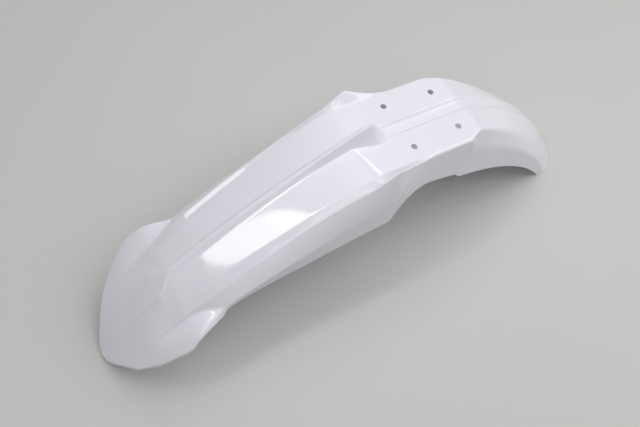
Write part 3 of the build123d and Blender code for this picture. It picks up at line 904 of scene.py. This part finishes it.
# %% Camera
AZIMUTH, ELEVATION, ROLL = np.radians([138.75, 54.89, 13.3])
CAMERA_SPOT = (501.5, 467.0, 749.6)
FOCAL_PIXELS, PICTURE_WIDTH, SENSOR = 820.0, 640.0, 36.0
outwards = np.array([np.sin(AZIMUTH), -np.cos(AZIMUTH), 0.0])
back = np.cos(ELEVATION) * outwards + np.sin(ELEVATION) * np.array([0.0, 0.0, 1.0])
right = unit(np.cross([0, 0, 1], back))
over = np.cross(back, right)
turn = np.eye(4)
turn[:3, 0] = np.cos(ROLL) * right + np.sin(ROLL) * over
turn[:3, 1] = np.cos(ROLL) * over - np.sin(ROLL) * right
turn[:3, 2] = back
turn[:3, 3] = np.array(CAMERA_SPOT) * MM
camera_data = bpy.data.cameras.new("camera")
camera_data.sensor_width = SENSOR
camera_data.lens = SENSOR * FOCAL_PIXELS / PICTURE_WIDTH
camera = bpy.data.objects.new("camera", camera_data)
camera.matrix_world = Matrix(turn.tolist())
bpy.context.scene.collection.objects.link(camera)
bpy.context.scene.camera = camera
bpy.context.scene.view_settings.view_transform = "Standard"
print("camera at", CAMERA_SPOT)

# %% [markdown]
# Soft light comes from boxes. The wide key box hangs above the part, on the camera's side and
# towards the rear, so the near walls and the nose fall into shade. Weaker boxes in front lift
# the panels and the near side, and a small one behind draws the bright line at the bend. On
# glossy white plastic the boxes also show as bright shapes, which tell the eye where the
# surface bends. The long glare on the near panel and the light on the far border come from
# narrow strips. Their places follow from the law of mirrors: a ray is followed from the
# camera to a spot on the part, turned back at the surface's normal and taken on to the
# strip's level. Two such hits give the sides of the long strip, or the ends of a far one.

# %% Lamps
ACROSS, UP = 1, 2
GLARE_REAR, GLARE_FRONT = (169.0, 30.0), (265.0, 27.0)
STRIP_HEIGHT, STRIP_LENGTH, STRIP_BRIGHTNESS = 3000.0, 4800.0, 7.8
FAR_WALL, FAR_STRIP_WIDTH = -1555.0, 220.0
FAR_STRIPS = (("far_strip", 260.0, 180.0, 4.2), ("far_end_strip", 178.0, 115.0, 1.0))
PART_MIDDLE, BOX_DISTANCE = np.array([60.0, 0.0, -60.0]), 2200.0
BOXES = (
    ("key_box", (-0.40, 0.22, 0.89), (2000.0, 2000.0), 2.5),
    ("bend_box", (-0.30, -0.38, 0.87), (330.0, 550.0), 4.0),
    ("panel_box", (0.30, -0.25, 0.92), (1700.0, 900.0), 1.2),
    ("near_box", (0.45, 0.46, 0.77), (1400.0, 900.0), 1.6),
)
STUDIO_TINT, STUDIO_LIGHT = (0.82, 0.82, 0.84, 1), 0.22


def soft_box(name, spot, facing, size, brightness, side=(1, 0, 0)):
    """A rectangular lamp at a spot, in millimetres, that shines along its facing direction; brightness is
    the radiance of its face, where 1 is that of white paper in full light."""
    data = bpy.data.lights.new(name, "AREA")
    data.shape = "RECTANGLE"
    data.size, data.size_y = size[0] * MM, size[1] * MM
    data.energy = brightness * np.pi * data.size * data.size_y
    lamp = bpy.data.objects.new(name, data)
    behind = -unit(np.array(facing, float))
    across = unit(np.array(side, float) - (np.array(side, float) @ behind) * behind)
    turn = np.eye(4)
    turn[:3, :3] = np.stack([across, np.cross(behind, across), behind], axis=1)
    turn[:3, 3] = np.array(spot, float) * MM
    lamp.matrix_world = Matrix(turn.tolist())
    bpy.context.scene.collection.objects.link(lamp)


def mirrored(x, y, axis, level):
    """Where the ray that the camera sees at (x, y) on the part comes from, at a level along an axis."""
    away = np.hypot(OUTER[..., 0] - x, OUTER[..., 1] - y)
    place_at = np.unravel_index(away.argmin(), away.shape)
    spot, normal = OUTER[place_at], normals_of(OUTER)[place_at]
    view = unit(np.array(CAMERA_SPOT) - spot)
    ray = 2 * (normal @ view) * normal - view
    return spot + ray * (level - spot[axis]) / ray[axis]


def far_border(x):
    """Middle of the far border at x, between the panel's edge and the outer line."""
    return -(LINES[0][0](x) + LINES[1][0](x)) / 2


strip_rear, strip_front = (mirrored(*spot, UP, STRIP_HEIGHT) for spot in (GLARE_REAR, GLARE_FRONT))
strip_size = STRIP_LENGTH, abs(strip_front[1] - strip_rear[1])
soft_box("strip_box", (strip_rear + strip_front) / 2, (0, 0, -1), strip_size, STRIP_BRIGHTNESS)
for name, first, last, brightness in FAR_STRIPS:
    ends = [mirrored(x, far_border(x), ACROSS, FAR_WALL) for x in (first, last)]
    size = np.linalg.norm(ends[1] - ends[0]), FAR_STRIP_WIDTH
    soft_box(name, (ends[0] + ends[1]) / 2, (0, 1, 0), size, brightness, ends[1] - ends[0])
for name, way, size, brightness in BOXES:
    direction = unit(np.array(way))
    soft_box(name, PART_MIDDLE + BOX_DISTANCE * direction, -direction, size, brightness)
world = bpy.data.worlds.new("studio")
world.use_nodes = True
background = world.node_tree.nodes["Background"]
background.inputs["Color"].default_value = STUDIO_TINT
background.inputs["Strength"].default_value = STUDIO_LIGHT
bpy.context.scene.world = world
